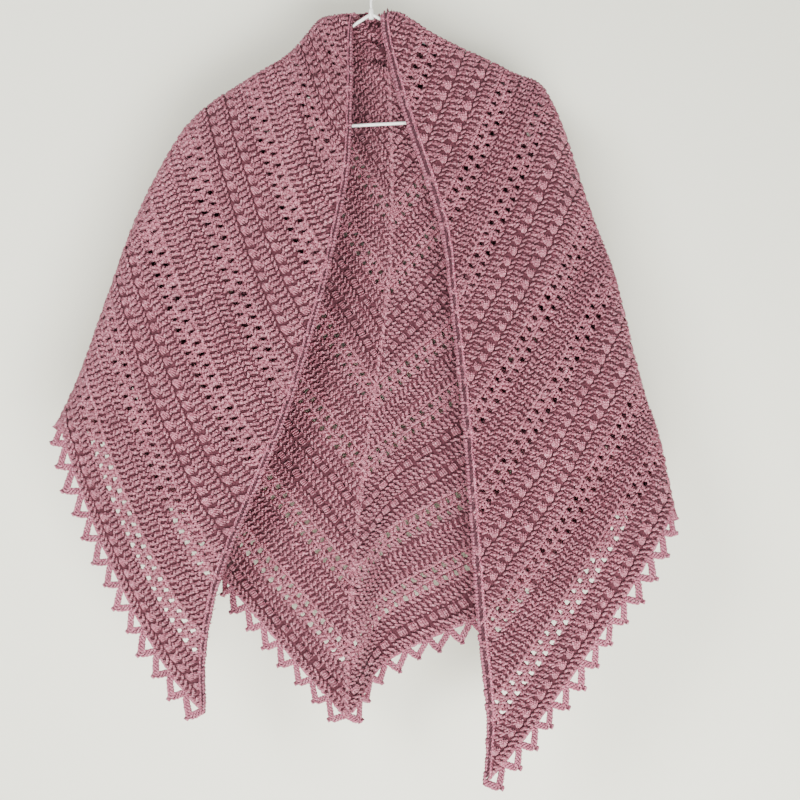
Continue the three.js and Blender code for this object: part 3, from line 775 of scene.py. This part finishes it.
for start, end in (
    (wanted.outputs["Cloth"], cloth_in.inputs["Object"]),
    (wanted.outputs["Stitches"], kinds_in.inputs["Collection"]),
    (wanted.outputs["Tilt"], tilt_low.inputs[0]),
    (tilt_low.outputs[0], tilt.inputs[2]),
    (wanted.outputs["Tilt"], tilt.inputs[3]),
    (wanted.outputs["Seed"], tilt.inputs["Seed"]),
    (tilt.outputs[1], spin.inputs["Z"]),
    (wanted.outputs["Uneven"], smallest.inputs[1]),
    (wanted.outputs["Uneven"], largest.inputs[1]),
    (smallest.outputs[0], swell.inputs[2]),
    (largest.outputs[0], swell.inputs[3]),
    (wanted.outputs["Seed"], swell.inputs["Seed"]),
    (attribute(crochet, "size", "FLOAT_VECTOR"), sized.inputs[0]),
    (swell.outputs[1], sized.inputs["Scale"]),
    (wanted.outputs["Geometry"], copies.inputs["Points"]),
    (kinds_in.outputs["Instances"], copies.inputs["Instance"]),
    (attribute(crochet, "kind", "INT"), copies.inputs["Instance Index"]),
    (spin.outputs["Vector"], copies.inputs["Rotation"]),
    (sized.outputs[0], copies.inputs["Scale"]),
    (copies.outputs["Instances"], real.inputs["Geometry"]),
    (position.outputs["Position"], apart.inputs[0]),
    (apart.outputs["X"], flat_place.inputs["X"]),
    (apart.outputs["Y"], flat_place.inputs["Y"]),
    (samples[0].outputs["Is Valid"], off_cloth.inputs[0]),
    (real.outputs["Geometry"], on_map.inputs["Geometry"]),
    (off_cloth.outputs[0], on_map.inputs["Value"]),
    (samples[1].outputs["Value"], raised.inputs[0]),
    (apart.outputs["Z"], raised.inputs["Scale"]),
    (samples[0].outputs["Value"], total.inputs[0]),
    (raised.outputs[0], total.inputs[1]),
    (on_map.outputs["Geometry"], put.inputs["Geometry"]),
    (total.outputs[0], put.inputs["Position"]),
    (put.outputs["Geometry"], drop.inputs["Geometry"]),
    (attribute(crochet, "off cloth", "BOOLEAN"), drop.inputs["Selection"]),
    (drop.outputs["Geometry"], paint.inputs["Geometry"]),
    (wanted.outputs["Yarn"], paint.inputs["Material"]),
    (paint.outputs["Geometry"], done.inputs["Geometry"]),
):
    crochet.links.new(start, end)


def lay(name, places, sizes, cloth, yarn, seed, tilt=0.06, uneven=0.06, stray=0.0):
    """One piece of real stitches at places of a cloth's flat map: x, y and kind."""
    astray = np.random.default_rng(seed + 100).normal(0, 1, (len(places), 2)).clip(-2, 2) * stray
    points = mesh_object(name, np.column_stack([places[:, :2] + astray, np.zeros(len(places))]), [])
    kind = points.data.attributes.new("kind", "INT", "POINT")
    kind.data.foreach_set("value", places[:, 2].astype(np.int32))
    size = points.data.attributes.new("size", "FLOAT_VECTOR", "POINT")
    size.data.foreach_set("vector", np.asarray(sizes, np.float32).ravel())
    shade = points.data.attributes.new("shade", "FLOAT", "POINT")
    shade.data.foreach_set("value", np.random.default_rng(seed).uniform(0, 1, len(places)).astype(np.float32))
    laid = points.modifiers.new("Crochet", "NODES")
    laid.node_group = crochet
    inputs = {s.name: s.identifier for s in crochet.interface.items_tree if s.in_out == "INPUT"}
    laid[inputs["Cloth"]] = cloth
    laid[inputs["Stitches"]] = stitch_kinds
    laid[inputs["Yarn"]] = yarn
    laid[inputs["Tilt"]] = tilt
    laid[inputs["Uneven"]] = uneven
    laid[inputs["Seed"]] = seed
    seen = points.evaluated_get(bpy.context.evaluated_depsgraph_get())
    made = bpy.data.meshes.new_from_object(seen)
    points.modifiers.remove(laid)
    points.data = made
    made.shade_smooth()
    return points


# The yarn: a plied wool mix, heathered in dusty pink with paler and darker fibres, dull, with a soft
# sheen at grazing angles. The edging is the same yarn, worked tighter, so it looks a little pinker.
heather = bpy.data.node_groups.new("Heathered wool", "ShaderNodeTree")
for name in ("Wool", "Dark fibres", "Pale fibres"):
    heather.interface.new_socket(name=name, in_out="INPUT", socket_type="NodeSocketColor")
heather.interface.new_socket(name="Color", in_out="OUTPUT", socket_type="NodeSocketColor")
heather.interface.new_socket(name="Height", in_out="OUTPUT", socket_type="NodeSocketFloat")
colours_in = add_node(heather, "NodeGroupInput")
where = add_node(heather, "ShaderNodeTexCoord")
fibres = add_node(heather, "ShaderNodeTexNoise", {"Scale": 420, "Detail": 3, "Roughness": 0.65})
darks = add_node(heather, "ShaderNodeMapRange", {"From Min": 0.50, "From Max": 0.34, "To Max": 0.75})
pales = add_node(heather, "ShaderNodeMapRange", {"From Min": 0.52, "From Max": 0.68, "To Max": 0.8})
with_darks = add_node(heather, "ShaderNodeMix", data_type="RGBA")
with_pales = add_node(heather, "ShaderNodeMix", data_type="RGBA")
patches = add_node(heather, "ShaderNodeTexNoise", {"Scale": 14, "Detail": 2})
patchy = add_node(heather, "ShaderNodeMapRange", {"To Min": 0.9, "To Max": 1.1})
each_stitch = add_node(heather, "ShaderNodeAttribute", attribute_name="shade")
stitch_shade = add_node(heather, "ShaderNodeMapRange", {"To Min": 0.88, "To Max": 1.1})
both = add_node(heather, "ShaderNodeMath", operation="MULTIPLY")
# Painted shade: strands whose ply map lies far below zero are the cores, and their colour is darkened as shade
inside = add_node(heather, "ShaderNodeMapRange", {"From Min": -9, "From Max": -5, "To Min": 0.14, "To Max": 1})
with_painted_core_shade = add_node(heather, "ShaderNodeMath", operation="MULTIPLY")
shaded = add_node(heather, "ShaderNodeVectorMath", operation="SCALE")
ply_map = add_node(heather, "ShaderNodeUVMap", uv_map="ply")
ply_parts = add_node(heather, "ShaderNodeSeparateXYZ")
ply_turns = add_node(heather, "ShaderNodeMath", {1: 0.42}, operation="MULTIPLY_ADD")
ply_wave = add_node(heather, "ShaderNodeMath", {1: 2 * math.pi}, operation="MULTIPLY")
ply_sine = add_node(heather, "ShaderNodeMath", operation="SINE")
fuzz = add_node(heather, "ShaderNodeMath", {1: 1.6}, operation="MULTIPLY_ADD")
colours_out = add_node(heather, "NodeGroupOutput")
for start, end in (
    (where.outputs["Object"], fibres.inputs["Vector"]),
    (where.outputs["Object"], patches.inputs["Vector"]),
    (fibres.outputs["Fac"], darks.inputs["Value"]),
    (fibres.outputs["Fac"], pales.inputs["Value"]),
    (darks.outputs["Result"], with_darks.inputs["Factor"]),
    (colours_in.outputs["Wool"], with_darks.inputs["A"]),
    (colours_in.outputs["Dark fibres"], with_darks.inputs["B"]),
    (pales.outputs["Result"], with_pales.inputs["Factor"]),
    (with_darks.outputs["Result"], with_pales.inputs["A"]),
    (colours_in.outputs["Pale fibres"], with_pales.inputs["B"]),
    (patches.outputs["Fac"], patchy.inputs["Value"]),
    (each_stitch.outputs["Fac"], stitch_shade.inputs["Value"]),
    (patchy.outputs["Result"], both.inputs[0]),
    (stitch_shade.outputs["Result"], both.inputs[1]),
    (with_pales.outputs["Result"], shaded.inputs[0]),
    (ply_parts.outputs["X"], inside.inputs["Value"]),
    (both.outputs[0], with_painted_core_shade.inputs[0]),
    (inside.outputs["Result"], with_painted_core_shade.inputs[1]),
    (with_painted_core_shade.outputs[0], shaded.inputs["Scale"]),
    (shaded.outputs[0], colours_out.inputs["Color"]),
    (ply_map.outputs["UV"], ply_parts.inputs[0]),
    (ply_parts.outputs["X"], ply_turns.inputs[0]),
    (ply_parts.outputs["Y"], ply_turns.inputs[2]),
    (ply_turns.outputs[0], ply_wave.inputs[0]),
    (ply_wave.outputs[0], ply_sine.inputs[0]),
    (fibres.outputs["Fac"], fuzz.inputs[0]),
    (ply_sine.outputs[0], fuzz.inputs[2]),
    (fuzz.outputs[0], colours_out.inputs["Height"]),
):
    # Two sockets of a colour mix share the name of its number sockets, so the enabled one is taken
    if end.node.bl_idname == "ShaderNodeMix":
        end = next(s for s in end.node.inputs if s.name == end.name and s.enabled)
    if start.node.bl_idname == "ShaderNodeMix":
        start = next(s for s in start.node.outputs if s.enabled)
    heather.links.new(start, end)


def wool(name, colour, dark, pale):
    """Heathered wool of a main colour, with dark and pale fibres."""
    made = material(name, colour, 0.95)
    tree = made.node_tree
    shader = tree.nodes["Principled BSDF"]
    mix = add_node(tree, "ShaderNodeGroup")
    mix.node_tree = heather
    for socket, value in (("Wool", colour), ("Dark fibres", dark), ("Pale fibres", pale)):
        mix.inputs[socket].default_value = (*value, 1)
    bump = add_node(tree, "ShaderNodeBump", {"Strength": 0.8, "Distance": 0.001})
    tree.links.new(mix.outputs["Color"], shader.inputs["Base Color"])
    tree.links.new(mix.outputs["Height"], bump.inputs["Height"])
    tree.links.new(bump.outputs["Normal"], shader.inputs["Normal"])
    shader.inputs["Specular IOR Level"].default_value = 0.2
    shader.inputs["Sheen Weight"].default_value = 0.2
    shader.inputs["Sheen Roughness"].default_value = 0.5
    shader.inputs["Sheen Tint"].default_value = (*linear(250, 215, 224), 1)
    return made


shawl_yarn = wool("Dusty pink wool", linear(181, 106, 123), linear(84, 33, 43), linear(228, 166, 180))
edging_yarn = wool("Edging wool", linear(187, 106, 128), linear(96, 40, 54), linear(228, 162, 180))
# Painted shade: a dark wool colour for the sheet behind the stitches, where the stitches shade one another
shadow_yarn = wool("Painted shade between the stitches", linear(78, 38, 47), linear(49, 22, 29), linear(108, 60, 71))

# The four panels of cloth, crocheted in plain, mesh and cluster rows. Each is a thin sheet in a dark wool colour,
# painted shade for the shadowed gaps between the stitches, with the stitches themselves on it, in a lower and an upper
# piece.
UPPER_ROWS = 170  # height on the flat map at which the upper piece starts
panels = {f"{side}_{part}": panel_of(side, part) for side in ("left", "right") for part in ("front", "back")}
stitches = {}
for number, (name, panel) in enumerate(panels.items()):
    sheet = ground_sheet("Cloth_" + name, panel)
    # The sheet is painted dark as the shade between the stitches
    sheet.data.materials.append(shadow_yarn)
    hung = drape_map("hung_" + name, panel, 0.02, 0.02)
    places, sizes = place_stitches(panel)
    stitches[name] = []
    is_lower = places[:, 1] < UPPER_ROWS
    for part, rows, seed in (("lower", is_lower, number + 1), ("upper", ~is_lower, number + 11)):
        piece = f"Stitches_{name}_{part}"
        stitches[name].append(lay(piece, places[rows], sizes[rows], hung, shawl_yarn, seed, 0.13, 0.1, 0.35))
    for made in (sheet, *stitches[name]):
        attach(made, "root")
        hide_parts("body_" + name + "_upper", "body_" + name + "_lower")
    bpy.data.objects.remove(hung)

# The spine: the increases worked at the middle of each row, which lie in one line from the nape to the
# point of the back and cover where the two halves of the rows meet.
spine_r = np.linspace(0.045, 1.01, 160)
spine_at = along(spine_line, np.minimum(spine_r, 1)) + np.maximum(spine_r - 1, 0)[:, None] * (-29, -35, -850)
sides = []
for half, sign in ((halves["left"], 1), (halves["right"], -1)):
    reach = np.interp(spine_r, half["r"], half["to_spine"])
    sides.append(sign * look_up(half, half["tangent"], spine_r, reach))
across = unit(sides[0] + sides[1])
down = np.gradient(spine_at, axis=0)
outward = unit(np.cross(across, down))
SPINE_HALF = 9
places = np.stack([spine_at + x * across - abs(x) / SPINE_HALF * outward for x in (-SPINE_HALF, 0, SPINE_HALF)], axis=1)
flat_x = np.array((SPINE_HALF, 0, -SPINE_HALF))[None]
flat = np.stack(np.broadcast_arrays(flat_x, ((1 - spine_r) * ROW_DEPTH)[:, None]), axis=-1)
spine_map = flat_map("hung_spine", places, flat, np.repeat(outward[:, None], 3, axis=1))
spine_rows = crochet_rows(0.06)
middles = np.array([(0, y + height / 2, SPINE) for _, y, height, _ in spine_rows])
sizes = np.array([(1, height / PLAIN_ROW, 1) for _, _, height, _ in spine_rows])
spine_stitches = lay("Stitches_spine", middles, sizes, spine_map, shawl_yarn, 9, 0.02)
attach(spine_stitches, "root")
bpy.data.objects.remove(spine_map)

# The top edge band: one row of chain worked along the straight edge and down both openings. Its loops
# lie side by side in pairs, like a braid; it is pulled tighter on the left half.
LINK = 7.6
for number, side in enumerate(("left", "right")):
    half = halves[side]
    r = np.linspace(0.045 if side == "left" else 0.03, 1.006, 190)
    distance = np.array((-6, -3, 0, 3, 6, 9, 12, 15, 18))
    rows = np.repeat(r[:, None], len(distance), axis=1)
    far = np.repeat(distance[None], len(r), axis=0)
    points = look_up(half, half["grid"], rows, far)
    middle = points[:, 2]
    length = np.concatenate([[0], np.cumsum(np.linalg.norm(np.diff(middle, axis=0), axis=1))])
    flat = np.stack([-half["turn"] * far, np.repeat((length[-1] - length)[:, None], len(distance), axis=1)], axis=-1)
    band_map = flat_map("hung_band", points, flat, unit(look_up(half, half["normal"], rows, far)))
    count = int((length[-1] - 6) / LINK)
    y = 4 + LINK * np.arange(count)
    narrow = (0.85 + 0.15 * rising(0, 120, y)) * (0.78 if side == "left" else 1.28)
    places = np.column_stack([-half["turn"] * (5.2 * narrow), y, np.full(count, CHAIN)])
    sizes = np.column_stack([narrow, np.ones(count), np.ones(count)])
    band = lay("Edge_band_" + side, places, sizes, band_map, edging_yarn, 20 + number, 0.09, 0.1, 0.3)
    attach(band, "root")
    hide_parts("top_edge_band_" + side)
    bpy.data.objects.remove(band_map)

# The border: pointed loops of chain along the lower edges, each a small drop-shaped opening, on one
# row of chain. Two neighbouring loops share their foot.
LOOP_PITCH = 28
for number, (name, panel) in enumerate(panels.items()):
    half = panel["half"]
    if name.endswith("front"):
        start, end = 0, half["to_fold"][-1]
    else:
        start, end = half["to_fold"][-1], half["to_spine"][-1]
    count = round((end - start) / LOOP_PITCH)
    pitch = (end - start) / count
    r = np.concatenate([np.linspace(0.985, 1.0, 4), np.linspace(1.004, 1.042, 10)])
    distance = np.arange(start - 6, end + 6, 3.0)
    rows, far = np.broadcast_arrays(r[:, None], distance[None])
    flat = np.stack([-half["turn"] * far, (1 - rows) * ROW_DEPTH], axis=-1)
    normals = unit(look_up(half, half["normal"], rows, far))
    border_map = flat_map("hung_border", look_up(half, half["grid"], rows, far), flat, normals)
    x = -half["turn"] * (start + pitch * (np.arange(count) + 0.5))
    down = LOOP if name in ("left_front", "right_back") else LOOP_BACK
    places = np.column_stack([x, np.zeros(count), np.full(count, down)])
    reach = np.random.default_rng(50 + number).uniform(0.88, 1.1, count)
    sizes = np.column_stack([np.full(count, pitch / LOOP_PITCH), reach, np.ones(count)])
    border = lay("Loops_" + name, places, sizes, border_map, edging_yarn, 30 + number, 0.05, 0.0)
    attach(border, "root")
    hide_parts("loop_border_" + name)
    bpy.data.objects.remove(border_map)

for made in list(stitch_kinds.objects):
    bpy.data.objects.remove(made)
bpy.data.collections.remove(stitch_kinds)

# What each panel measures when it lies flat: its widest row, its depth square to the rows, and its area.
# The four hang from the wire, each with its own stitches, edge band and border.
for name, panel in panels.items():
    half = panel["half"]
    kept = (half["r"] >= panel["first"]) & (half["r"] <= 1)
    widths = (panel["high"] - panel["low"])[kept]
    depth = (1 - panel["first"]) * ROW_DEPTH
    flat = (float(widths.max()) * 0.001, depth * 0.001)
